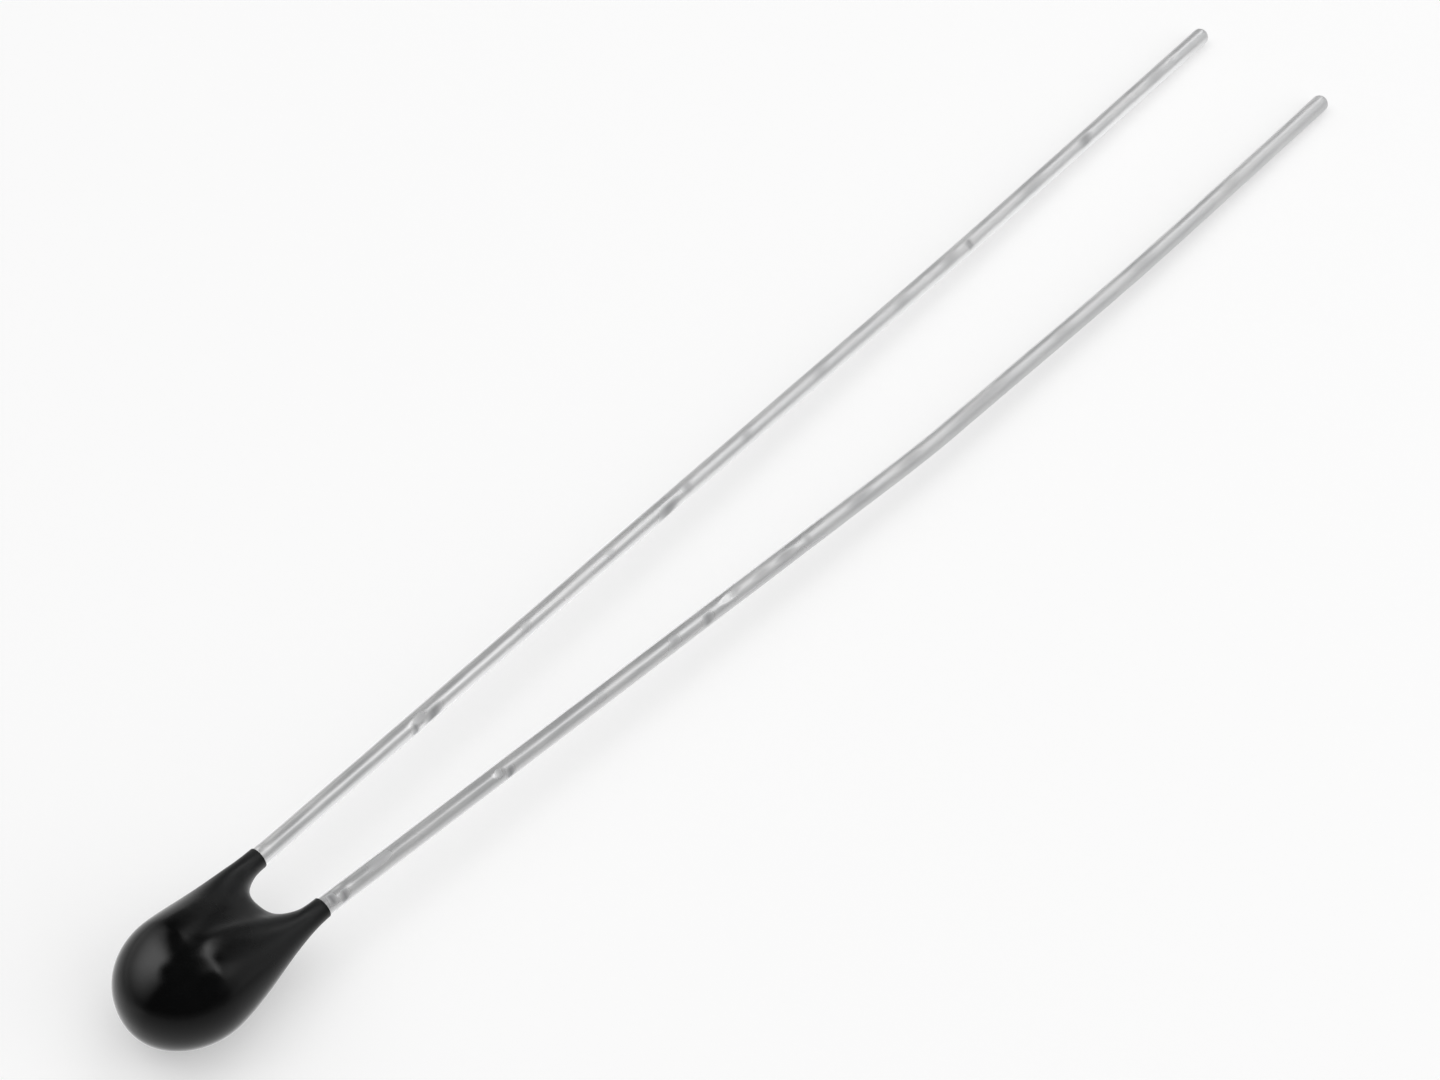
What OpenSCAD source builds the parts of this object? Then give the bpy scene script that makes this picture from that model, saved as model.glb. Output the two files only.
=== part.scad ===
// Radial thermistor with a negative temperature coefficient.
// A square ceramic chip stands on edge between two tinned wires and is sealed in one drop of epoxy.
// The drop climbs both wires as short horns, with a rounded saddle between them.
// The part lies on its drop and on the tips of its two wires. +X runs along the wires, +Z is up.

/* [Drop] */
// Width of the drop, across the two wires
drop_w = 3.15; // [2.9:0.05:3.5]
// Thickness of the drop
drop_t = 2.68; // [2.3:0.02:3]
// Length of the round end, from its pole to the widest place
round_end_len = 1.73; // [1.5:0.01:2.1]
// Length from the widest place to the ends of the horns
taper_len = 3.2; // [2.9:0.05:4]
// Sideways offset of the drop, which sagged a little as it cured
sag_offset = 0.18; // [0:0.01:0.3]
// Depth of the saddle between the horns
saddle_depth = 0.93; // [0.7:0.01:1.1]
// Length over which each horn closes round its wire
horn_len = 0.7; // [0.6:0.05:0.9]
// Thickness of the epoxy at the ends of the horns
horn_wall = 0.03; // [0.03:0.005:0.06]

/* [Wires] */
// Diameter of each wire
wire_d = 0.45; // [0.4:0.01:0.5]
// Distance between the wires where they leave the drop
exit_pitch = 2; // [1.8:0.05:2.3]
// Reach of the wires past the horns
wire_reach = 36.3; // [32:0.1:45]
// Radius of the edge round each wire's tip
tip_round = 0.16; // [0.05:0.01:0.18]
// Splay of the first wire as it leaves the drop, in degrees
splay_a = 1.3; // [0.5:0.1:2]
// Distance at which the first wire bends
bend_at_a = 25.3; // [20:0.1:28]
// Outward bend of the first wire, in degrees
bend_a = 0.9; // [0.4:0.1:1.5]
// Splay of the second wire as it leaves the drop, in degrees
splay_b = 3.3; // [2:0.1:4]
// Distance at which the second wire bends
bend_at_b = 19.4; // [16:0.1:22]
// Inward bend of the second wire, in degrees
bend_b = 3; // [1:0.1:4]
// Distance at which the second wire curls back
curl_at_b = 27.8; // [26:0.1:29]
// Curl of the second wire back to the first, in degrees
curl_b = 1.8; // [0.5:0.1:2.5]

/* [Chip] */
// Width and height of the square ceramic chip
chip_w = 1.2; // [1:0.05:1.3]
// Thickness of the chip
chip_t = 0.5; // [0.3:0.05:0.6]
// Bare ceramic round each silver film
film_margin = 0.06; // [0.03:0.01:0.1]
// Thickness of each silver film
film_t = 0.03; // [0.02:0.005:0.05]
// Solder left between each film and its wire
solder_gap = 0.03; // [0.02:0.005:0.05]
// Thickness of the solder over each wire
solder_cover = 0.12; // [0.08:0.01:0.2]
// Length of each solder joint
solder_len = 0.85; // [0.6:0.05:0.9]

/* [Hidden] */

wire_r = wire_d / 2;
horn_r = wire_r + horn_wall;
exit_y = exit_pitch / 2;

// The chip stands where the drop is widest
chip_x = -taper_len;

// Bend radii of the wires: the tight ones inside the drop, the brisk one and the slow ones outside it
joggle_r = 0.6;
brisk_r = 40;
slow_r = 150;
// Room between the chip and the first tight bend, and the length over which a wire steps outward
joggle_room = 0.05;
joggle_len = 0.75;

// The wire lies on the film with a little solder under it, and its end reaches over the whole film
film_w = chip_w - 2 * film_margin;
contact_y = chip_t / 2 + film_t + solder_gap + wire_r;
wire_end_x = chip_x - film_w / 2;
joggle_in_x = chip_x + chip_w / 2 + joggle_room;
joggle_out_x = joggle_in_x + joggle_len;

// Height of the wires over the drop's underside, and the slope at which the whole part rests
tip_x = wire_reach;
rest_slope = atan((drop_t / 2 - wire_r) / (tip_x - tip_round + taper_len));

// Facets: points per quarter of a ring, and rings along the round end and along the taper
quarter_steps = 8;
round_end_rings = 14;
taper_rings = 22;

// Squareness of the drop's outlines, where 2 is an ellipse
round_end_square = 2;
thickness_square = 2.3;
saddle_square = 2.6;
web_square = 3.2;
horn_square = 2;

// Elbows of the wires: sides of their section, degrees per facet, and a radius a hair under the legs'
elbow_sides = 24;
elbow_step = 5;
elbow_r = wire_r * 0.995;

// How early the width and the thickness fall off along the taper, where 1 is even
width_fall = 0.97;
thickness_fall = 0.78;
// How slowly the ridge of the drop parts into two
ridge_pace = 1.8;
// How early the web turns into the horns, and how soon its rings reach round the edge of the saddle
horn_early = 1.3;
saddle_pace = 0.7;

// Smooth ramp from 0 to 1
function ease(f) = let (t = min(1, max(0, f))) t * t * (3 - 2 * t);

// Smooth fall from 1 at the widest place to 0 at the ends of the horns
function fall(f, early) = (1 + cos(180 * pow(min(1, max(0, f)), early))) / 2;

// Quarter of a rounded square, as a share of its height at a share of its reach
function rounded(f, square) = pow(max(0, 1 - pow(min(1, max(0, f)), square)), 1 / square);

// Half width and half thickness of the drop at a distance x, negative inside the drop
function half_width(x) = x < -taper_len
    ? drop_w / 2 * rounded((-taper_len - x) / round_end_len, round_end_square)
    : exit_y + horn_r + (drop_w / 2 - exit_y - horn_r) * fall(1 + x / taper_len, width_fall);

function half_thickness(x) = x < -taper_len
    ? drop_t / 2 * rounded((-taper_len - x) / round_end_len, thickness_square)
    : horn_r + (drop_t / 2 - horn_r) * fall(1 + x / taper_len, thickness_fall);

// Place of a wire's axis at a distance x, before any bend outside the drop
function wire_y(x, splay) = exit_y + x * tan(splay);

// The ridge of the drop: one line along the middle that parts into one over each wire
function ridge_y(x, splay) = let (
    f = min(1, max(0, (x + taper_len) / (taper_len - horn_len)))
) wire_y(x, splay) * sin(90 * pow(f, ridge_pace));

// Sideways lean of the drop, which fades to none at the ends of the horns
function lean_y(x) = -sag_offset * (1 - ease((x + taper_len) / taper_len));

// Edge of the saddle: a rounded U from its bottom, at 0, to the inner side of a horn's end, at 1
function saddle_edge(f, splay) = let (
    x = -saddle_depth * pow(cos(90 * f), 2 / saddle_square),
    y = (exit_y - horn_r + x * tan(splay)) * pow(sin(90 * f), 2 / saddle_square)
) [x, y];

// A point of the skin. The turn is 0 at the top of the ridge, 90 at the outline and 180 underneath.
function outer_point(x, turn, side, splay) = let (
    ridge = ridge_y(x, splay),
    y = ridge + (half_width(x) - ridge) * sin(turn)
) [x, side * y + lean_y(x), half_thickness(x) * cos(turn)];

function inner_point(f, turn, side, splay) = let (
    x = -taper_len * (1 - f),
    ridge = [x, ridge_y(x, splay)],
    square = web_square + (horn_square - web_square) * min(1, horn_early * f),
    reach = pow(sin(turn), 2 / square),
    rise = sign(cos(turn)) * pow(abs(cos(turn)), 2 / square),
    spot = ridge + (saddle_edge(pow(f, saddle_pace), splay) - ridge) * reach
) [spot[0], side * spot[1] + lean_y(spot[0]), half_thickness(spot[0]) * rise];

// The skin of the drop: rings round the round end, which part into a loop round each wire
module drop_skin() {
    half_ring = 2 * quarter_steps;
    ring = 4 * quarter_steps;
    step = 90 / quarter_steps;
    pole = [[-taper_len - round_end_len, lean_y(-taper_len), 0]];
    rear = [
        for (i = [1:round_end_rings], k = [0:ring - 1])
            let (x = -taper_len - round_end_len * cos(90 * i / round_end_rings))
            k <= half_ring
                ? outer_point(x, k * step, 1, splay_a)
                : outer_point(x, (ring - k) * step, -1, splay_b)
    ];
    // Middle of the web between the wires, from its top round the saddle to its underside
    web = [
        for (k = [half_ring + 1:ring - 1])
            inner_point(0, (ring - k) * step, 1, splay_a)
    ];
    loops = [
        for (i = [1:taper_rings], side = [1, -1], k = [0:ring - 1])
            let (
                f = i / taper_rings,
                splay = side > 0 ? splay_a : splay_b
            )
            k <= half_ring
                ? outer_point(-taper_len * (1 - f), k * step, side, splay)
                : inner_point(f, (ring - k) * step, side, splay)
    ];
    web_start = 1 + round_end_rings * ring;
    loop_start = web_start + half_ring - 1;

    // Numbers of the points, where k may pass once round its ring
    function rear_id(i, k) = 1 + (i - 1) * ring + (k + ring) % ring;
    function loop_id(i, second, k) = let (j = (k + ring) % ring)
        i > 0 ? loop_start + (2 * (i - 1) + second) * ring + j
        : j > half_ring ? web_start + j - half_ring - 1
        : rear_id(round_end_rings, second == 1 ? -j : j);

    faces = concat(
        [for (k = [0:ring - 1]) [0, rear_id(1, k), rear_id(1, k + 1)]],
        [
            for (i = [1:round_end_rings - 1], k = [0:ring - 1])
                each [
                    [rear_id(i, k), rear_id(i + 1, k), rear_id(i + 1, k + 1)],
                    [rear_id(i, k), rear_id(i + 1, k + 1), rear_id(i, k + 1)]
                ]
        ],
        [
            for (i = [0:taper_rings - 1], k = [0:ring - 1])
                each [
                    [loop_id(i, 0, k), loop_id(i + 1, 0, k), loop_id(i + 1, 0, k + 1)],
                    [loop_id(i, 0, k), loop_id(i + 1, 0, k + 1), loop_id(i, 0, k + 1)],
                    [loop_id(i, 1, k + 1), loop_id(i + 1, 1, k + 1), loop_id(i + 1, 1, k)],
                    [loop_id(i, 1, k + 1), loop_id(i + 1, 1, k), loop_id(i, 1, k)]
                ]
        ],
        [
            [for (k = [0:ring - 1]) loop_id(taper_rings, 0, k)],
            [for (k = [0:ring - 1]) loop_id(taper_rings, 1, -k)]
        ]
    );
    polyhedron(points = concat(pole, rear, web, loops), faces = faces);
}

// Corners of each wire's axis in the plane of the wires, each with the radius of its bend
function inside_corners(side, splay) = [
    [wire_end_x, side * contact_y, 0],
    [joggle_in_x, side * contact_y, joggle_r],
    [joggle_out_x, side * wire_y(joggle_out_x, splay), joggle_r]
];

function corners_a() = let (
    bend_y = wire_y(bend_at_a, splay_a),
    end_y = bend_y + (tip_x - bend_at_a) * tan(splay_a + bend_a)
) concat(inside_corners(1, splay_a), [[bend_at_a, bend_y, slow_r], [tip_x, end_y, 0]]);

function corners_b() = let (
    bend_y = wire_y(bend_at_b, splay_b),
    curl_y = bend_y + (curl_at_b - bend_at_b) * tan(splay_b - bend_b),
    end_y = curl_y + (tip_x - curl_at_b) * tan(splay_b - bend_b - curl_b)
) concat(inside_corners(-1, splay_b), [
    [bend_at_b, -bend_y, brisk_r], [curl_at_b, -curl_y, slow_r], [tip_x, -end_y, 0]
]);

// Heading from one corner to the next, turn at a corner and length that its bend takes from each side
function heading(route, i) = atan2(route[i + 1][1] - route[i][1], route[i + 1][0] - route[i][0]);
function turn_at(route, i) = heading(route, i) - heading(route, i - 1);
function bend_take(route, i) = i == 0 || i == len(route) - 1 ? 0
    : route[i][2] * tan(abs(turn_at(route, i)) / 2);
function leg_len(route, i) = norm([route[i + 1][0] - route[i][0], route[i + 1][1] - route[i][1]]);

// One round wire along its corners: straight legs, elbows that enter them, and a rounded tip
module wire(route) {
    last = len(route) - 2;
    for (i = [0:last]) {
        start = bend_take(route, i);
        end = leg_len(route, i) - bend_take(route, i + 1);
        translate([route[i][0], route[i][1], 0]) rotate([0, 0, heading(route, i)]) {
            translate([start, 0, 0]) rotate([0, 90, 0]) wire_leg(end - start, i == last ? tip_round : 0);
            if (i < last) translate([end, 0, 0]) wire_elbow(turn_at(route, i + 1), route[i + 1][2]);
        }
    }
}

module wire_leg(length, end_round) {
    rotate_extrude($fn = 48)
        intersection() {
            square([wire_r, length]);
            union() {
                square([wire_r, length - end_round]);
                square([wire_r - end_round, length]);
                if (end_round > 0)
                    translate([wire_r - end_round, length - end_round]) circle(r = end_round, $fn = 48);
            }
        }
}

// A bend that starts at the origin along +X. A stub at either end runs into the leg that it meets.
module wire_elbow(turn, radius) {
    side = sign(turn);
    arc_steps = max(4, ceil(abs(turn) / elbow_step));
    stations = concat(
        [[-wire_r, 0, 0]],
        [
            for (i = [0:arc_steps - 1])
                let (angle = turn * (i + 0.5) / arc_steps)
                [radius * sin(abs(angle)), side * radius * (1 - cos(angle)), angle]
        ],
        [[
            radius * sin(abs(turn)) + wire_r * cos(turn),
            side * radius * (1 - cos(turn)) + wire_r * sin(turn),
            turn
        ]]
    );
    points = [
        for (station = stations, k = [0:elbow_sides - 1])
            let (
                across = elbow_r * cos(360 * k / elbow_sides),
                up = elbow_r * sin(360 * k / elbow_sides)
            )
            [station[0] - across * sin(station[2]), station[1] + across * cos(station[2]), up]
    ];
    last = len(stations) - 1;
    walls = [
        for (i = [0:last - 1], k = [0:elbow_sides - 1])
            let (
                a = i * elbow_sides + k,
                b = i * elbow_sides + (k + 1) % elbow_sides
            )
            [a, a + elbow_sides, b + elbow_sides, b]
    ];
    ends = [
        [for (k = [0:elbow_sides - 1]) k],
        [for (k = [elbow_sides - 1:-1:0]) last * elbow_sides + k]
    ];
    polyhedron(points = points, faces = concat(walls, ends));
}

// Everything is built in the plane of the wires and then laid down to rest, over the middle of its extents
rear_x = -taper_len - round_end_len;
side_a = max([for (corner = corners_a()) corner[1]]) + wire_r;
side_b = min([for (corner = corners_b()) corner[1]]) - wire_r;

module at_rest() {
    translate([
        -(rear_x + tip_x) / 2 * cos(rest_slope),
        -(side_a + side_b) / 2,
        drop_t / 2 * cos(rest_slope) - taper_len * sin(rest_slope)
    ])
        rotate([0, rest_slope, 0]) children();
}

module chip_shape() {
    translate([chip_x, 0, 0]) cube([chip_w, chip_t, chip_w], center = true);
}

module film_shape(side) {
    translate([chip_x, side * (chip_t + film_t) / 2, 0]) cube([film_w, film_t, film_w], center = true);
}

// A solder joint: a bead round the wire's end, flat where it has wetted the film
module solder_bead(side) {
    bead_r = wire_r + solder_cover;
    face_y = chip_t / 2 + film_t;
    intersection() {
        translate([chip_x - solder_len / 2, side * contact_y, 0]) rotate([0, 90, 0]) round_bead(bead_r);
        translate([chip_x, side * (face_y + bead_r), 0])
            cube([solder_len * 2, bead_r * 2, bead_r * 3], center = true);
    }
}

module round_bead(r) {
    edge = solder_cover;
    rotate_extrude($fn = 48) {
        square([r - edge, solder_len]);
        translate([0, edge]) square([r, solder_len - 2 * edge]);
        for (end = [edge, solder_len - edge])
            translate([r - edge, end]) circle(r = edge, $fn = 48);
    }
}

module coating() {
    color([0.03, 0.03, 0.03]) at_rest()
        difference() {
            drop_skin();
            wire(corners_a());
            wire(corners_b());
            chip_shape();
            for (side = [1, -1]) {
                film_shape(side);
                solder_bead(side);
            }
        }
}

module chip() {
    color([0.2, 0.18, 0.17]) at_rest() chip_shape();
}

module electrode_a() {
    color([0.85, 0.85, 0.86]) at_rest() film_shape(1);
}

module electrode_b() {
    color([0.85, 0.85, 0.86]) at_rest() film_shape(-1);
}

module solder_a() {
    color([0.7, 0.7, 0.72]) at_rest()
        difference() {
            solder_bead(1);
            wire(corners_a());
        }
}

module solder_b() {
    color([0.7, 0.7, 0.72]) at_rest()
        difference() {
            solder_bead(-1);
            wire(corners_b());
        }
}

module lead_a() {
    color([0.75, 0.75, 0.76]) at_rest() wire(corners_a());
}

module lead_b() {
    color([0.75, 0.75, 0.76]) at_rest() wire(corners_b());
}

coating();
chip();
electrode_a();
electrode_b();
solder_a();
solder_b();
lead_a();
lead_b();
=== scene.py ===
import math

import bmesh
import bpy
from mathutils import Matrix, Quaternion, Vector, noise


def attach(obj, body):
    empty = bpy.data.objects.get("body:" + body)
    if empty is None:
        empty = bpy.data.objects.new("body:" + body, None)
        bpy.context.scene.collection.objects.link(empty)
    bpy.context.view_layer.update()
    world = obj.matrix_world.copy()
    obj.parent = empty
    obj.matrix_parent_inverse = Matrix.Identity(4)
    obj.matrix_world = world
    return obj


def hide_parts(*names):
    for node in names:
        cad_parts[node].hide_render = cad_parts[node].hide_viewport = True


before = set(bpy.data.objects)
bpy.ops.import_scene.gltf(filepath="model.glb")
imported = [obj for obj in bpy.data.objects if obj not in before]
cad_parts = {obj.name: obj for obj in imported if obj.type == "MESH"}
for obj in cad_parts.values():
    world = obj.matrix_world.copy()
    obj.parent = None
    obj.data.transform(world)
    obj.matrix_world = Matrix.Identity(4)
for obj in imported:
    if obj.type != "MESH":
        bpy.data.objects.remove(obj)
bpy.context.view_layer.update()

# Camera
# It looks down on the part at 50 degrees from behind the drop, close enough for the tips to look thinner.
MM = 0.001
eye = Vector((-46.070, -38.867, 70.391)) * MM
gaze = Vector((0.48623, 0.42401, -0.76407))
tip_to_right = math.radians(0.24)
sensor_width = 36
focal_length = 96
nearest_shown = 5 * MM
bpy.ops.object.camera_add(location=eye)
camera = bpy.context.object
camera.name = "camera"
level_view = gaze.to_track_quat("-Z", "Y")
camera.rotation_euler = (level_view @ Quaternion((0, 0, 1), tip_to_right)).to_euler()
camera.data.sensor_width = sensor_width
camera.data.lens = focal_length
camera.data.clip_start = nearest_shown
bpy.context.scene.camera = camera
bpy.context.scene.view_settings.view_transform = "Standard"

# Chip
# A square plate of sintered metal oxides, pressed and fired hard, and the only piece that senses the warmth.
# It is dark grey, matte and a little grainy, and it stands on edge between the two wires.


def new_material(name):
    material = bpy.data.materials.new(name)
    material.use_nodes = True
    return material, material.node_tree, material.node_tree.nodes["Principled BSDF"]


def grain(tree, size, stretch=(1, 1, 1), detail=3.0):
    """Noise on the piece's own coordinates: a grain of size millimetres, stretched along each axis."""
    coordinates = tree.nodes.new("ShaderNodeTexCoord")
    mapping = tree.nodes.new("ShaderNodeMapping")
    mapping.inputs["Scale"].default_value = [1 / (size * MM * s) for s in stretch]
    pattern = tree.nodes.new("ShaderNodeTexNoise")
    pattern.inputs["Scale"].default_value = 1
    pattern.inputs["Detail"].default_value = detail
    tree.links.new(coordinates.outputs["Object"], mapping.inputs["Vector"])
    tree.links.new(mapping.outputs["Vector"], pattern.inputs["Vector"])
    return pattern.outputs["Fac"]


def spread(tree, value, low, high, start=0.3, end=0.7, soft=False):
    """Turns a value between start and end into a number between low and high."""
    node = tree.nodes.new("ShaderNodeMapRange")
    node.interpolation_type = "SMOOTHSTEP" if soft else "LINEAR"
    node.inputs["From Min"].default_value = start
    node.inputs["From Max"].default_value = end
    node.inputs["To Min"].default_value = low
    node.inputs["To Max"].default_value = high
    tree.links.new(value, node.inputs["Value"])
    return node.outputs["Result"]


def tones(tree, value, dark, pale):
    """Turns a number between 0 and 1 into a colour between dark and pale."""
    node = tree.nodes.new("ShaderNodeMix")
    node.data_type = "RGBA"
    node.inputs["A"].default_value = (*dark, 1)
    node.inputs["B"].default_value = (*pale, 1)
    tree.links.new(value, node.inputs["Factor"])
    return node.outputs["Result"]


def relief(tree, shader, height, depth, below=None):
    """Raises the surface by depth millimetres where height is 1, on top of any relief below."""
    node = tree.nodes.new("ShaderNodeBump")
    node.inputs["Distance"].default_value = depth * MM
    tree.links.new(height, node.inputs["Height"])
    if below is not None:
        tree.links.new(below, node.inputs["Normal"])
    tree.links.new(node.outputs["Normal"], shader.inputs["Normal"])
    return node.outputs["Normal"]


def grained_material(name, size, dark, pale, roughness, depth, metallic=0.0):
    """A material whose tone, roughness and relief all follow one grain of size millimetres."""
    material, tree, shader = new_material(name)
    pattern = grain(tree, size)
    shader.inputs["Metallic"].default_value = metallic
    tree.links.new(tones(tree, spread(tree, pattern, 0, 1), dark, pale), shader.inputs["Base Color"])
    tree.links.new(spread(tree, pattern, *roughness), shader.inputs["Roughness"])
    relief(tree, shader, pattern, depth)
    return material


def dress(node_name, material):
    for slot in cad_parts[node_name].material_slots:
        slot.material = material


ceramic = grained_material(
    "sintered_oxide", size=0.03, depth=0.004,
    dark=(0.07, 0.065, 0.06), pale=(0.15, 0.14, 0.13), roughness=(0.7, 0.9),
)
dress("chip", ceramic)

# Silver films
# One film of silver paste is printed on each broad face of the chip and fired.
# That leaves it matte and white.
silver = grained_material(
    "fired_silver", size=0.02, depth=0.002, metallic=1,
    dark=(0.78, 0.77, 0.74), pale=(0.93, 0.92, 0.9), roughness=(0.45, 0.65),
)
dress("electrode_a", silver)
dress("electrode_b", silver)

# Wires
# Two round steel wires, drawn and tinned. Each is soldered to a film, steps outward inside the drop and runs
# out to a cropped tip that the tin has rounded over. The second one was bent a little in handling.

# Sizes are in millimetres in the flat plane of the wires, where x is 0 at the ends of the drop's horns
wire_r = 0.225
exit_y = 1.0
wire_reach = 36.3
tip_round = 0.16
splay_a = math.radians(1.3)
splay_b = math.radians(3.3)
bend_a = math.radians(0.9)
bend_b = math.radians(3)
curl_b = math.radians(1.8)
bend_at_a = 25.3
bend_at_b = 19.4
curl_at_b = 27.8
joggle_r = 0.6
brisk_r = 40
slow_r = 150
wire_end_x = -3.74
joggle_in_x = -2.55
joggle_out_x = -1.8
contact_y = 0.535

# Each corner is x, y and the radius of the bend there
corners_a = [
    (wire_end_x, contact_y, 0),
    (joggle_in_x, contact_y, joggle_r),
    (joggle_out_x, exit_y + joggle_out_x * math.tan(splay_a), joggle_r),
    (bend_at_a, exit_y + bend_at_a * math.tan(splay_a), slow_r),
]
corners_a.append((wire_reach, corners_a[-1][1] + (wire_reach - bend_at_a) * math.tan(splay_a + bend_a), 0))
corners_b = [
    (wire_end_x, -contact_y, 0),
    (joggle_in_x, -contact_y, joggle_r),
    (joggle_out_x, -exit_y - joggle_out_x * math.tan(splay_b), joggle_r),
    (bend_at_b, -exit_y - bend_at_b * math.tan(splay_b), brisk_r),
]
heading_b = splay_b - bend_b
corners_b.append((curl_at_b, corners_b[-1][1] - (curl_at_b - bend_at_b) * math.tan(heading_b), slow_r))
corners_b.append((wire_reach, corners_b[-1][1] - (wire_reach - curl_at_b) * math.tan(heading_b - curl_b), 0))

# How finely a wire is divided: round it, along it, over each bend and over the rounded edge of its tip
wire_sides = 40
ring_gap = 0.1
longest_edge = ring_gap * 1.5
fewest_bend_rings = 4
tip_rings = 8


def select_by(piece, kind, wanted):
    """Selects the points, edges or faces of a piece in edit mode for which wanted is true, and no others."""
    bpy.ops.mesh.select_all(action="DESELECT")
    mesh = bmesh.from_edit_mesh(piece.data)
    found = [part for part in getattr(mesh, kind) if wanted(part)]
    for part in found:
        part.select_set(True)
    mesh.select_flush_mode()
    bmesh.update_edit_mesh(piece.data)
    return len(found)


def draw_wire(name, corners):
    """Draws a wire from its inner end: a disc is extruded down each leg and spun round each bend."""
    points = [Vector((x, y, 0)) for x, y, bend in corners]
    ways = [(after - before).normalized() for before, after in zip(points, points[1:])]
    headings = [math.atan2(way.y, way.x) for way in ways]
    turns = [0, *(after - before for before, after in zip(headings, headings[1:])), 0]
    takes = [bend * math.tan(abs(turn) / 2) for (x, y, bend), turn in zip(corners, turns)]
    bpy.ops.object.select_all(action="DESELECT")
    bpy.ops.mesh.primitive_circle_add(
        vertices=wire_sides, radius=wire_r, fill_type="NGON",
        location=points[0], rotation=(0, math.pi / 2, headings[0]),
    )
    wire = bpy.context.object
    wire.name = name
    wire.data.name = name
    bpy.ops.object.transform_apply(location=True, rotation=True, scale=True)
    bpy.ops.object.mode_set(mode="EDIT")
    bpy.ops.mesh.select_mode(type="FACE")
    bpy.ops.mesh.select_all(action="SELECT")
    for i, way in enumerate(ways):
        length = (points[i + 1] - points[i]).length - takes[i] - takes[i + 1]
        bpy.ops.mesh.extrude_region_move(TRANSFORM_OT_translate={"value": way * length})
        if i < len(ways) - 1:
            turn = turns[i + 1]
            bend = corners[i + 1][2]
            to_centre = Vector((-way.y, way.x, 0)) * math.copysign(bend, turn)
            bpy.ops.mesh.spin(
                steps=max(fewest_bend_rings, math.ceil(bend * abs(turn) / ring_gap)), angle=turn,
                center=points[i + 1] - way * takes[i + 1] + to_centre, axis=(0, 0, -1),
            )
    bpy.ops.mesh.region_to_loop()
    bpy.ops.mesh.bevel(offset=tip_round, segments=tip_rings, affect="EDGES")
    bpy.ops.mesh.select_mode(type="EDGE")
    while select_by(wire, "edges", lambda edge: edge.calc_length() > longest_edge):
        bpy.ops.mesh.subdivide(number_cuts=1)
    bpy.ops.mesh.select_mode(type="VERT")
    bpy.ops.mesh.select_all(action="SELECT")
    bpy.ops.mesh.normals_make_consistent(inside=False)
    bpy.ops.object.mode_set(mode="OBJECT")
    return wire


wire_a = draw_wire("wire_a", corners_a)
wire_b = draw_wire("wire_b", corners_b)

# Each mark is where it is along the wire, its length, the way it faces round the wire in degrees, its depth
# and how much dirt and painted shade darken it, up to 1. 90 degrees faces up and 0 faces the side of the
# first wire.
marks_a = [
    (4.95, 0.6, 119, 0.026, 0.35), (4.85, 0.25, 158, 0.016, 0.9), (5.4, 0.7, 152, 0.018, 0.85),
    (8.6, 0.5, 119, 0, 0.2), (11.6, 0.4, 118, 0, 0.15), (13.6, 0.9, 152, 0.006, 0.6),
    (14.4, 0.4, 118, 0.01, 0.35), (16.6, 0.5, 118, 0, 0.25), (19.4, 0.8, 117, 0, 0.2),
    (22.6, 0.9, 117, 0, 0.2), (23.8, 0.3, 108, 0.012, 0), (24.6, 0.9, 118, 0, 0.3),
    (25.5, 0.3, 126, 0.016, 0.6), (28.0, 1.4, 117, 0, 0.2), (30.5, 0.7, 124, 0.014, 0.5),
    (30.9, 0.3, 106, 0.01, 0), (32.7, 0.3, 108, 0.01, 0), (33.6, 1.2, 117, 0, 0.2),
    (34.6, 0.5, 108, 0.014, 0),
]
marks_b = [
    (0.15, 0.25, 112, 0, 1), (0.45, 0.3, 142, 0.006, 0.9), (1.35, 1.1, 96, 0, 0.4),
    (5.1, 0.3, 119, 0.02, 0.3), (5.4, 0.3, 155, 0.016, 0.8),
    (8.2, 0.6, 118, 0, 0.15), (10.6, 0.5, 118, 0, 0.3), (11.7, 0.4, 142, 0.016, 0.6),
    (12.4, 0.8, 108, 0.024, 0), (13.4, 0.8, 119, 0.012, 0.25), (14.2, 0.9, 121, 0.018, 0.35),
    (15.1, 0.3, 118, 0, 0.25), (16.7, 1.2, 118, 0.008, 0.3), (18.5, 1.2, 118, 0.01, 0.25),
    (20.7, 3.2, 117, 0.012, 0.25), (24.4, 1.2, 117, 0, 0.15), (27.6, 1.6, 117, 0, 0.15),
    (31.6, 1.2, 117, 0, 0.15),
]

# A mark slants across the wire by a share of its length. It takes in what faces it squarely enough, and its
# dirt and painted shade fade in as the wire faces it more squarely.
mark_slant = 0.25
mark_faced = 0.3
dirt_and_shade_faced = (0.75, 0.95)

# Each bead of tin is where it is, its length, the way it faces and its height
beads_a = [(0.12, 0.1, 60, 0.01)]
beads_b = [(0.3, 0.14, 150, 0.014), (0.6, 0.14, 85, 0.01)]

# The tin is this much thicker and thinner from place to place, over this length along and round the wire
tin_wave = 0.0028
tin_wave_long = 0.8
tin_wave_round = 0.17


def share(value):
    return min(1.0, max(0.0, value))


def ramp(value, none, full):
    """How far a value has come from none, which gives 0, to full, which gives 1."""
    return share((value - none) / (full - none))


def squarely(out, facing):
    """How squarely a normal looks the way that is facing degrees round the wire: 1 is straight that way."""
    return out.y * math.cos(math.radians(facing)) + out.z * math.sin(math.radians(facing))


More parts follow.
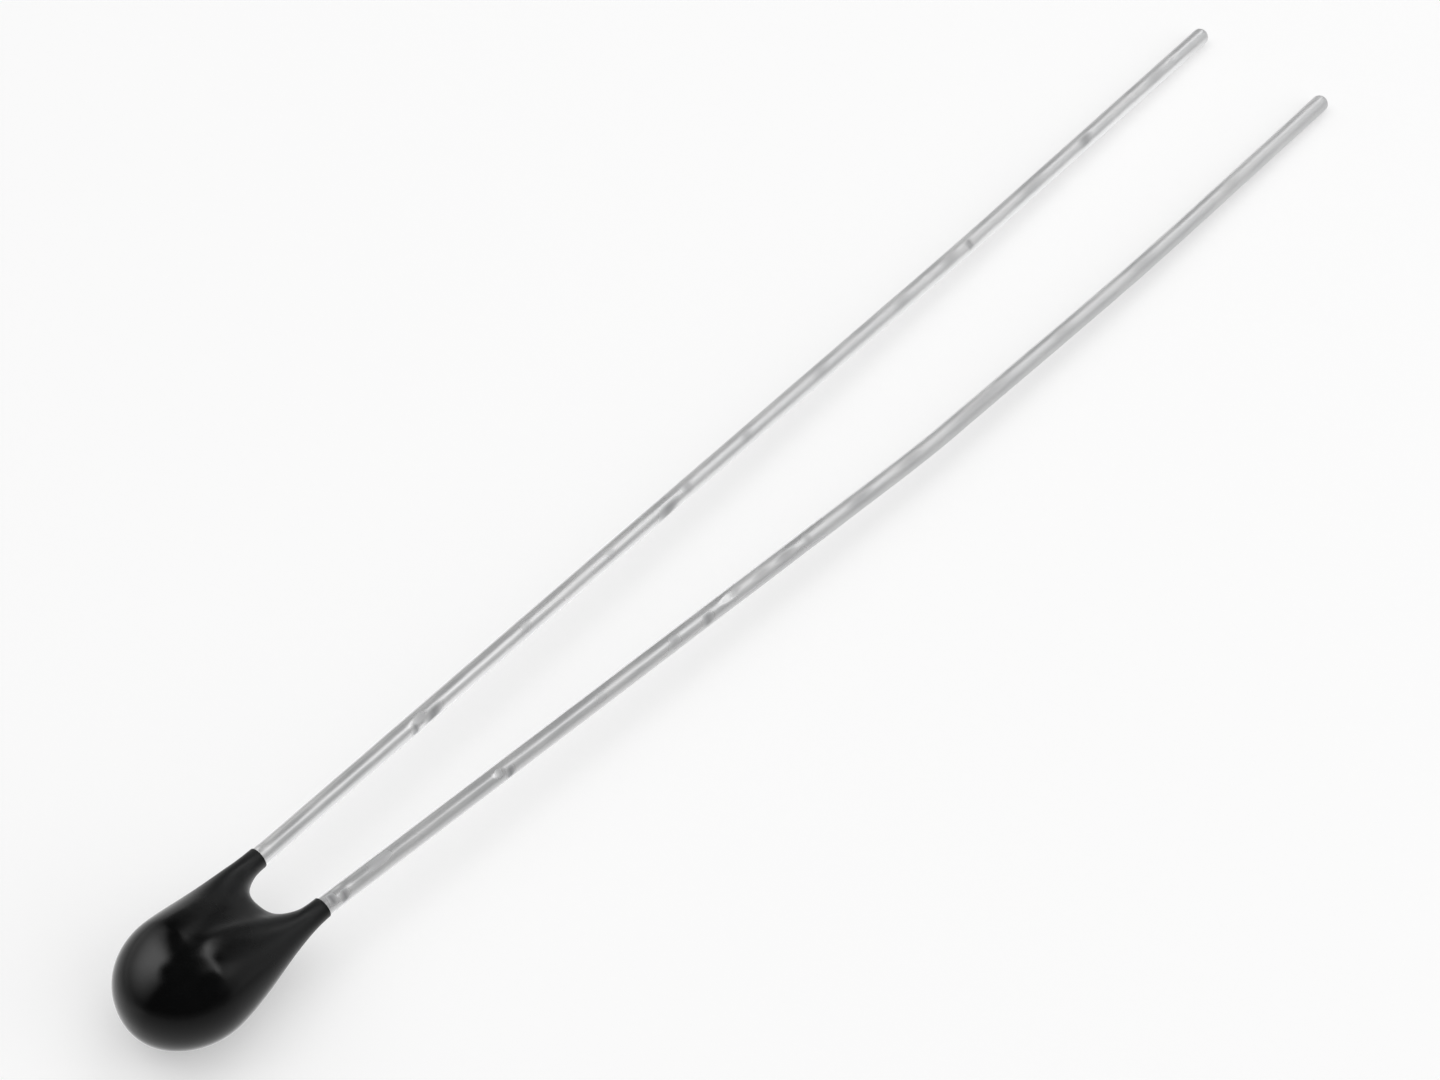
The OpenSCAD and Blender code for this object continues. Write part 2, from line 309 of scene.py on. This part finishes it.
def wear_in(wire, marks, beads):
    """Presses the marks into a wire, raises its beads and waves its tin. Keeps how much dirt and painted
    shade darken each point.
    """
    dirt_and_shade = []
    outward = [vertex.normal.copy() for vertex in wire.data.vertices]
    for vertex, out in zip(wire.data.vertices, outward):
        x = vertex.co.x
        rise = 0
        dirt_and_shade_here = 0
        for at, length, facing, depth, dirt_and_shade_amount in marks:
            faced = squarely(out, facing)
            reach = (x - at - mark_slant * length * out.z) / (length / 2)
            if abs(reach) < 1 and faced > mark_faced:
                window = (1 - reach * reach) ** 2
                flat = (wire_r - depth * window) / faced - wire_r
                rise = min(rise, flat)
                dirt_and_shade_here = max(dirt_and_shade_here, dirt_and_shade_amount * window * ramp(faced, *dirt_and_shade_faced))
        for at, length, facing, height in beads:
            rise += height * math.exp(-(((x - at) / length) ** 2)) * share(squarely(out, facing)) ** 2
        if x > 0:
            place = Vector((x / tin_wave_long, vertex.co.y / tin_wave_round, vertex.co.z / tin_wave_round))
            rise += tin_wave * noise.noise(place)
        vertex.co += out * rise
        dirt_and_shade.append(dirt_and_shade_here)
    kept = wire.data.attributes.new("dirt_and_shade", "FLOAT", "POINT")
    kept.data.foreach_set("value", dirt_and_shade)


wear_in(wire_a, marks_a, beads_a)
wear_in(wire_b, marks_b, beads_b)

# The part lies on the drop and on the tips of the wires, over the middle of its extents
drop_w = 3.15
drop_t = 2.68
round_end_len = 1.73
taper_len = 3.2
rest_slope = math.atan((drop_t / 2 - wire_r) / (wire_reach - tip_round + taper_len))
side_a = max(y for x, y, bend in corners_a) + wire_r
side_b = min(y for x, y, bend in corners_b) - wire_r
lying = Vector((
    -(wire_reach - taper_len - round_end_len) / 2 * math.cos(rest_slope),
    -(side_a + side_b) / 2,
    drop_t / 2 * math.cos(rest_slope) - taper_len * math.sin(rest_slope),
))
laid_down = Matrix.Scale(MM, 4) @ Matrix.Translation(lying) @ Matrix.Rotation(rest_slope, 4, "Y")
sharp_edge = math.radians(40)


def finish_piece(piece, material, nodes):
    """Lays a finished piece down in metres, smooths it and gives it its material and place in the part."""
    piece.data.transform(laid_down)
    bpy.ops.object.select_all(action="DESELECT")
    piece.select_set(True)
    bpy.context.view_layer.objects.active = piece
    bpy.ops.object.shade_smooth_by_angle(angle=sharp_edge)
    piece.data.materials.clear()
    piece.data.materials.append(material)
    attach(piece, "root")
    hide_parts(*nodes)


def feed(tree, value, socket):
    """Gives an input of a node its value, which is a number or another node's output."""
    if isinstance(value, (int, float)):
        socket.default_value = value
    else:
        tree.links.new(value, socket)


def reckon(tree, operation, first, second):
    """Joins two numbers or sockets by a sum of arithmetic."""
    node = tree.nodes.new("ShaderNodeMath")
    node.operation = operation
    feed(tree, first, node.inputs[0])
    feed(tree, second, node.inputs[1])
    return node.outputs["Value"]


# Satin tin mirrors a little over half of the light and scatters the rest. The die that drew the wire left
# fine lines along it, and the tin is a little uneven in tone.
tin, tree, shader = new_material("satin_tin")
shader.inputs["Metallic"].default_value = 0.57
dirt_and_shade = tree.nodes.new("ShaderNodeAttribute")
dirt_and_shade.attribute_name = "dirt_and_shade"
draw_lines = grain(tree, 0.035, stretch=(40, 1, 1), detail=4)
blotches = grain(tree, 0.6, stretch=(2.5, 0.6, 0.6), detail=2)
clean_tone = tones(tree, spread(tree, blotches, 0, 1, 0.35, 0.65), (0.8, 0.805, 0.81), (0.88, 0.88, 0.88))
# The marks darken the tin's colour, partly with dirt and partly with painted shade for the dark the tin
# mirrors there
tin_with_dirt_and_shade = tree.nodes.new("ShaderNodeMix")
tin_with_dirt_and_shade.data_type = "RGBA"
tin_with_dirt_and_shade.blend_type = "MULTIPLY"
tin_with_dirt_and_shade.inputs["Factor"].default_value = 1
tree.links.new(clean_tone, tin_with_dirt_and_shade.inputs["A"])
tree.links.new(tones(tree, dirt_and_shade.outputs["Fac"], (1, 1, 1), (0.42, 0.42, 0.43)), tin_with_dirt_and_shade.inputs["B"])
tree.links.new(tin_with_dirt_and_shade.outputs["Result"], shader.inputs["Base Color"])

# Dirt dulls the tin, and so has the handling of the far halves of the wires
wire_place = tree.nodes.new("ShaderNodeSeparateXYZ")
tree.links.new(tree.nodes.new("ShaderNodeTexCoord").outputs["Object"], wire_place.inputs["Vector"])
handled = spread(tree, wire_place.outputs["X"], 0, 0.2, -9 * MM, 5 * MM)
soiled = spread(tree, dirt_and_shade.outputs["Fac"], 0, 0.35, 0, 0.5)
uneven = spread(tree, blotches, 0.13, 0.24, 0.35, 0.65)
dulled = reckon(tree, "ADD", uneven, reckon(tree, "ADD", soiled, handled))
tree.links.new(dulled, shader.inputs["Roughness"])
relief(tree, shader, blotches, 0.002, relief(tree, shader, draw_lines, 0.0005))
finish_piece(wire_a, tin, ["lead_a"])
finish_piece(wire_b, tin, ["lead_b"])

# Solder joints
# One bead of solder holds each wire's end to its silver film. It wetted both, so it is smooth and satin.
solder = grained_material(
    "satin_solder", size=0.15, depth=0.004, metallic=1,
    dark=(0.55, 0.55, 0.57), pale=(0.7, 0.7, 0.7), roughness=(0.25, 0.4),
)
dress("solder_a", solder)
dress("solder_b", solder)

# Drop
# One drop of glossy black epoxy. The chip on its wires was dipped into it and pulled out with the wires up,
# so the epoxy ran down into a round end, left a saddle between the wires and cured on each as a thin horn.
sag_offset = 0.18
saddle_depth = 0.93
horn_len = 0.7
horn_wall = 0.03
horn_r = wire_r + horn_wall

# Squareness of the drop's outlines, where 2 is an ellipse
round_end_square = 2
thickness_square = 2.3
saddle_square = 2.6
web_square = 3.2
horn_square = 2.0

# How early the width and the thickness fall off along the taper, where 1 is even
width_fall = 0.97
thickness_fall = 0.78

# How slowly the ridge parts into two, how early the web turns into the horns, and how soon its rings reach
# round the edge of the saddle
ridge_pace = 1.8
horn_early = 1.3
saddle_pace = 0.7


def fall(f, early):
    """Smooth fall from 1 at the widest place to 0 at the ends of the horns."""
    return (1 + math.cos(math.pi * share(f) ** early)) / 2


def rounded(f, square):
    """Quarter of a rounded square, as a share of its height at a share of its reach."""
    return max(0.0, 1 - share(f) ** square) ** (1 / square)


def half_width(x):
    if x < -taper_len:
        return drop_w / 2 * rounded((-taper_len - x) / round_end_len, round_end_square)
    return exit_y + horn_r + (drop_w / 2 - exit_y - horn_r) * fall(1 + x / taper_len, width_fall)


def half_thickness(x):
    if x < -taper_len:
        return drop_t / 2 * rounded((-taper_len - x) / round_end_len, thickness_square)
    return horn_r + (drop_t / 2 - horn_r) * fall(1 + x / taper_len, thickness_fall)


def ridge_y(x, splay):
    """The ridge starts in the middle of the drop and parts into one over each wire."""
    along = share((x + taper_len) / (taper_len - horn_len))
    return (exit_y + x * math.tan(splay)) * math.sin(math.pi / 2 * along**ridge_pace)


def lean_y(x):
    """Sideways lean of the drop, which fades to none at the ends of the horns."""
    t = share((x + taper_len) / taper_len)
    return -sag_offset * (1 - t * t * (3 - 2 * t))


def outer_point(x, turn, side, splay):
    """A point of the skin from the ridge, at turn 0, over the flank to the underside, at half a turn."""
    ridge = ridge_y(x, splay)
    y = ridge + (half_width(x) - ridge) * math.sin(turn)
    return Vector((x, side * y + lean_y(x), half_thickness(x) * math.cos(turn)))


def inner_point(f, turn, side, splay):
    """A point of the web between the wires, which ends at the rounded edge of the saddle."""
    x = -taper_len * (1 - f)
    square = web_square + (horn_square - web_square) * share(horn_early * f)
    reach = max(0.0, math.sin(turn)) ** (2 / square)
    rise = math.copysign(abs(math.cos(turn)) ** (2 / square), math.cos(turn))
    round_saddle = math.pi / 2 * f**saddle_pace
    edge_x = -saddle_depth * max(0.0, math.cos(round_saddle)) ** (2 / saddle_square)
    edge_y = (exit_y - horn_r + edge_x * math.tan(splay)) * math.sin(round_saddle) ** (2 / saddle_square)
    spot_x = x + (edge_x - x) * reach
    spot_y = ridge_y(x, splay) + (edge_y - ridge_y(x, splay)) * reach
    return Vector((spot_x, side * spot_y + lean_y(spot_x), half_thickness(spot_x) * rise))


# How finely the drop is divided: round it, along its round end and along its taper
ring = 128
half_ring = ring // 2
round_end_rings = 56
taper_rings = 88


def round_end_point(row, column):
    x = -taper_len - round_end_len * math.cos(math.pi / 2 * row / round_end_rings)
    turn = 2 * math.pi * column / ring
    if column <= half_ring:
        return outer_point(x, turn, 1, splay_a)
    return outer_point(x, 2 * math.pi - turn, -1, splay_b)


def horn_point(row, column, side, splay):
    turn = 2 * math.pi * column / ring
    if column <= half_ring:
        return outer_point(-taper_len * (1 - row / taper_rings), turn, side, splay)
    return inner_point(row / taper_rings, 2 * math.pi - turn, side, splay)


def sheet(name, rows, place):
    """Adds a grid and rolls it into a skin: place(row, column) says where each of its points goes."""
    bpy.ops.object.select_all(action="DESELECT")
    bpy.ops.mesh.primitive_grid_add(x_subdivisions=ring, y_subdivisions=rows, size=1)
    rolled = bpy.context.object
    rolled.name = name
    for number, vertex in enumerate(rolled.data.vertices):
        vertex.co = place(*divmod(number, ring + 1))
    return rolled


skins = [
    sheet("round_end", round_end_rings, round_end_point),
    sheet("horn_a", taper_rings, lambda row, column: horn_point(row, column, 1, splay_a)),
    sheet("horn_b", taper_rings, lambda row, column: horn_point(row, column, -1, splay_b)),
]

# The three skins meet point on point, and the tip of the round end is one point
same_place = 0.0005
no_length = 0.0001
bpy.ops.object.select_all(action="DESELECT")
for skin in skins:
    skin.select_set(True)
drop = skins[0]
bpy.context.view_layer.objects.active = drop
bpy.ops.object.join()
drop.name = "epoxy_drop"
drop.data.name = "epoxy_drop"
bpy.ops.object.mode_set(mode="EDIT")
bpy.ops.mesh.select_all(action="SELECT")
bpy.ops.mesh.remove_doubles(threshold=same_place)
bpy.ops.mesh.dissolve_degenerate(threshold=no_length)

# The end of each horn is a thin flat ring round its wire, and the hole in it runs in along the wire
hole_share = wire_r / horn_r
end_band = 0.001


def ends_horn(edge, side):
    """True for an edge at the end of the horn on one side."""
    return all(abs(v.co.x) < end_band and v.co.y * side > 0 for v in edge.verts)


for side in (1, -1):
    select_by(drop, "edges", lambda edge: ends_horn(edge, side))
    bpy.ops.mesh.extrude_edges_move()
    bpy.ops.transform.resize(value=(1, hole_share, hole_share), center_override=(0, side * exit_y, 0))
    bpy.ops.mesh.extrude_edges_move(TRANSFORM_OT_translate={"value": (-horn_len, 0, 0)})
    bpy.ops.mesh.edge_face_add()
bpy.ops.mesh.select_all(action="SELECT")
bpy.ops.mesh.normals_make_consistent(inside=False)
bpy.ops.object.mode_set(mode="OBJECT")

# Surface tension filled the valley between the ridges and evened out its borders, the most on the side of the
# first wire. The saddle keeps its edge, because each pass fades out before it.
at_saddle = -0.95
off_saddle = -1.45


def valley(x, y):
    """The valley itself, between the ridges."""
    ridge = ridge_y(x, splay_a)
    return ramp(abs(y), ridge + 0.12, ridge - 0.18) * ramp(x, -3.5, -3.0) * ramp(x, at_saddle, off_saddle)


def valley_borders(x, y):
    """A wider stretch, over both ridges."""
    return ramp(x, -4.0, -3.3) * ramp(x, at_saddle, off_saddle) * ramp(abs(y), 1.0, 0.5)


def first_side(x, y):
    """The side of the valley toward the first wire."""
    return ramp(x, -3.1, -2.7) * ramp(x, -1.5, -2.2) * ramp(y, -0.1, 0.2) * ramp(y, 0.8, 0.4)


def even_out(piece, repeats, share_at):
    """Smooths a piece, each point by the share that share_at gives its x and its y off the leaning middle."""
    group = piece.vertex_groups.new(name="evened")
    for vertex in piece.data.vertices:
        group.add([vertex.index], share_at(vertex.co.x, vertex.co.y - lean_y(vertex.co.x)), "REPLACE")
    bpy.ops.object.modifier_add(type="SMOOTH")
    piece.modifiers[-1].vertex_group = "evened"
    piece.modifiers[-1].iterations = repeats
    bpy.ops.object.modifier_apply(modifier=piece.modifiers[-1].name)
    piece.vertex_groups.clear()


even_out(drop, 300, valley)
even_out(drop, 120, valley_borders)
even_out(drop, 250, first_side)

# The cured skin isn't quite even: it stands a few micrometres higher and lower from place to place. The flat
# ends of the horns stay flat.
skin_wave = 0.008
skin_wave_size = 1.1
flat_end = 0.02
outward = [vertex.normal.copy() for vertex in drop.data.vertices]
for vertex, out in zip(drop.data.vertices, outward):
    if vertex.co.x < -flat_end:
        vertex.co += out * skin_wave * noise.noise(vertex.co / skin_wave_size)

# The epoxy thins out from the widest place of the drop to the start of the horns, and so it is duller there
thick_until = -3.3
thinness = drop.data.attributes.new("thinness", "FLOAT", "POINT")
thinness.data.foreach_set("value", [ramp(v.co.x, thick_until, -horn_len) for v in drop.data.vertices])

epoxy, tree, shader = new_material("black_epoxy")
shader.inputs["IOR"].default_value = 1.5
skin_grain = grain(tree, 0.25, detail=4)
dust = grain(tree, 0.012, detail=2)
thin = tree.nodes.new("ShaderNodeAttribute")
thin.attribute_name = "thinness"
dull = spread(tree, thin.outputs["Fac"], 0, 1, 0, 1, soft=True)
greyed = reckon(tree, "ADD", spread(tree, skin_grain, 0, 0.12), reckon(tree, "MULTIPLY", dull, dull))
epoxy_tone = tones(tree, greyed, (0.002, 0.0021, 0.0021), (0.0065, 0.007, 0.0073))
tree.links.new(epoxy_tone, shader.inputs["Base Color"])
dulled = reckon(tree, "ADD", spread(tree, skin_grain, 0.1, 0.16), reckon(tree, "MULTIPLY", dull, 0.26))
tree.links.new(dulled, shader.inputs["Roughness"])
relief(tree, shader, dust, 0.0006, relief(tree, shader, skin_grain, 0.002))
finish_piece(drop, epoxy, ["coating"])

# Floor
# A plain white sheet that the part lies on. Seen in reflections alone, it glows with painted light that is
# brightest close to the part, falls off with distance and is brighter on the window's side.
floor_size = 0.8
# The sheet's tone, and what lifts it to white for the viewer alone
paper = 0.62
paper_lift = 0.39
# Its painted mirrored light is lit_width over the distance from a line under the part, and a rest all over.
# The line reaches lit_line each way, and the light is even within lit_core of it.
lit_line = 19 * MM
lit_width = 1.15 * MM
lit_core = 1.4 * MM
lit_rest = 0.2
bpy.ops.mesh.primitive_plane_add(size=floor_size, location=(0, 0, 0))
floor = bpy.context.object
floor.name = "floor"
white_sheet, tree, shader = new_material("white_sheet")
shader.inputs["Base Color"].default_value = (paper, paper, paper, 1)
shader.inputs["Roughness"].default_value = 0.9
shader.inputs["Specular IOR Level"].default_value = 0
shader.inputs["Emission Color"].default_value = (1, 1, 1, 1)
seen = tree.nodes.new("ShaderNodeLightPath")
lifted = spread(tree, seen.outputs["Is Camera Ray"], 0, paper_lift, 0, 1)
tree.links.new(lifted, shader.inputs["Emission Strength"])

# Distance from the line under the part
floor_place = tree.nodes.new("ShaderNodeTexCoord").outputs["Object"]
from_line = floor_place
for operation, amount in (("ABSOLUTE", (0, 0, 0)), ("SUBTRACT", (lit_line, 0, 0)), ("MAXIMUM", (0, 0, 0))):
    step = tree.nodes.new("ShaderNodeVectorMath")
    step.operation = operation
    step.inputs[1].default_value = amount
    tree.links.new(from_line, step.inputs[0])
    from_line = step.outputs["Vector"]
distance = tree.nodes.new("ShaderNodeVectorMath")
distance.operation = "LENGTH"
tree.links.new(from_line, distance.inputs[0])
nearness = reckon(tree, "DIVIDE", lit_width, reckon(tree, "MAXIMUM", distance.outputs["Value"], lit_core))
sideways = tree.nodes.new("ShaderNodeSeparateXYZ")
tree.links.new(floor_place, sideways.inputs["Vector"])
window_side = spread(tree, sideways.outputs["Y"], 1, 1.6, 0, 3 * MM)
# Painted light: the sheet glows where the part mirrors it, though it is no lamp
glow = tree.nodes.new("ShaderNodeEmission")
mirrored_light = reckon(tree, "MULTIPLY", reckon(tree, "ADD", nearness, lit_rest), window_side)
tree.links.new(mirrored_light, glow.inputs["Strength"])
mirrored = tree.nodes.new("ShaderNodeMixShader")
tree.links.new(seen.outputs["Is Glossy Ray"], mirrored.inputs["Fac"])
tree.links.new(shader.outputs["BSDF"], mirrored.inputs[1])
tree.links.new(glow.outputs["Emission"], mirrored.inputs[2])
tree.links.new(mirrored.outputs["Shader"], tree.nodes["Material Output"].inputs["Surface"])
floor.data.materials.append(white_sheet)

# Room
# What the part mirrors is a dim room with a wide window to its left, a long lamp beyond it and a soft glow to
# its right. The room is white to look at, and otherwise lights the part evenly.
even_light = 0.3
white = 1
world = bpy.data.worlds.new("room")
bpy.context.scene.world = world
world.use_nodes = True
room = world.node_tree
room.nodes.clear()
direction = room.nodes.new("ShaderNodeTexCoord").outputs["Generated"]
axes = room.nodes.new("ShaderNodeSeparateXYZ")
room.links.new(direction, axes.inputs["Vector"])
upward = axes.outputs["Z"]
heading = reckon(room, "ARCTAN2", axes.outputs["Y"], axes.outputs["X"])


def toward(way):
    """How far a direction in the room points along the given one."""
    node = room.nodes.new("ShaderNodeVectorMath")
    node.operation = "DOT_PRODUCT"
    node.inputs[1].default_value = way
    room.links.new(direction, node.inputs[0])
    return node.outputs["Value"]


def all_of(*factors):
    product = factors[0]
    for factor in factors[1:]:
        product = reckon(room, "MULTIPLY", product, factor)
    return product


# The window fades out at both sides and at its top, and brightens with height
left_window = all_of(
    spread(room, heading, 0, 1, math.radians(55), math.radians(80), soft=True),
    spread(room, heading, 1, 0, math.radians(105), math.radians(178)),
    spread(room, upward, 0.5, 2.25, 0.1, 0.8, soft=True),
    spread(room, upward, 1, 0, 0.86, 0.96, soft=True),
)

# The lamp is dim at its far end, brightest in its middle and fades out at its near end, toward which it bends
# and widens. A round halo stands beside that end.
lamp_along = toward((-0.445, -0.666, 0.599))
lamp_middle = spread(room, lamp_along, 0.1, -0.16, 0.2, 0.5)
lamp_across = reckon(room, "ABSOLUTE", reckon(room, "ADD", toward((0.491, -0.741, -0.459)), lamp_middle), 0)
lamp_reach = spread(room, lamp_along, 0.22, 0.36, 0.2, 0.5)
long_lamp = all_of(
    spread(room, toward((0.749, 0.09, 0.656)), 0, 1, 0.3, 0.5),
    spread(room, lamp_along, 0.15, 2.1, -0.45, -0.1),
    spread(room, lamp_along, 1, 0.74, 0.1, 0.38),
    spread(room, lamp_along, 1, 0, 0.47, 0.65, soft=True),
    spread(room, reckon(room, "DIVIDE", lamp_across, lamp_reach), 1, 0, 0, 1, soft=True),
)
lamp_halo = spread(room, toward((0.62, -0.476, 0.621)), 0, 0.34, 0.94, 0.99, soft=True)
side_glow = all_of(
    spread(room, heading, 0, 0.38, math.radians(-80), math.radians(-40), soft=True),
    spread(room, heading, 1, 0, math.radians(-25), math.radians(20), soft=True),
    spread(room, upward, 1, 0, 0.4, 0.75, soft=True),
)
room_light = spread(room, upward, 0.16, 0.04, 0, 0.25, soft=True)
for part in (left_window, long_lamp, lamp_halo, side_glow):
    room_light = reckon(room, "ADD", room_light, part)


def backdrop(strength):
    node = room.nodes.new("ShaderNodeBackground")
    feed(room, strength, node.inputs["Strength"])
    return node.outputs["Background"]


seen = room.nodes.new("ShaderNodeLightPath")
shown = backdrop(even_light)
for ray, strength in (("Is Camera Ray", white), ("Is Glossy Ray", room_light)):
    choice = room.nodes.new("ShaderNodeMixShader")
    room.links.new(seen.outputs[ray], choice.inputs["Fac"])
    room.links.new(shown, choice.inputs[1])
    room.links.new(backdrop(strength), choice.inputs[2])
    shown = choice.outputs["Shader"]
output = room.nodes.new("ShaderNodeOutputWorld")
room.links.new(shown, output.inputs["Surface"])

# Lights
# Three soft boxes stand round the drop: to its left, beyond it and to its right. The part mirrors the room
# and not the boxes.
drop_middle = Vector((-18.5, 0, 1.5)) * MM
box_distance = 0.25


def soft_box(name, way, along, width, length, power):
    """A soft box in the direction way from the drop, with its long side along the direction along."""
    back = Vector(way).normalized()
    side = Vector(along).cross(back).normalized()
    up = back.cross(side)
    bpy.ops.object.light_add(type="AREA", location=drop_middle + back * box_distance)
    box = bpy.context.object
    box.name = name
    box.rotation_euler = Matrix((side, up, back)).transposed().to_euler()
    box.data.shape = "RECTANGLE"
    box.data.size = width
    box.data.size_y = length
    box.data.energy = power
    box.visible_glossy = False


soft_box("left_box", (-0.138, 0.652, 0.745), (0.73, 0.81, -0.70), width=0.2, length=0.26, power=0.12)
soft_box("far_box", (0.751, 0.114, 0.651), (0.55, 0.77, -0.75), width=0.16, length=0.26, power=0.1)
soft_box("right_box", (0.25, -0.8, 0.5), (1, 0, 0), width=0.2, length=0.3, power=0.22)

# A broad fill over the part only lightens the shadows, so it isn't mirrored either
fill_height = 0.3
fill_width = 0.5
fill_power = 0.5
bpy.ops.object.light_add(type="AREA", location=(0, 0, fill_height))
fill = bpy.context.object
fill.name = "fill"
fill.data.shape = "DISK"
fill.data.size = fill_width
fill.data.energy = fill_power
fill.visible_glossy = False
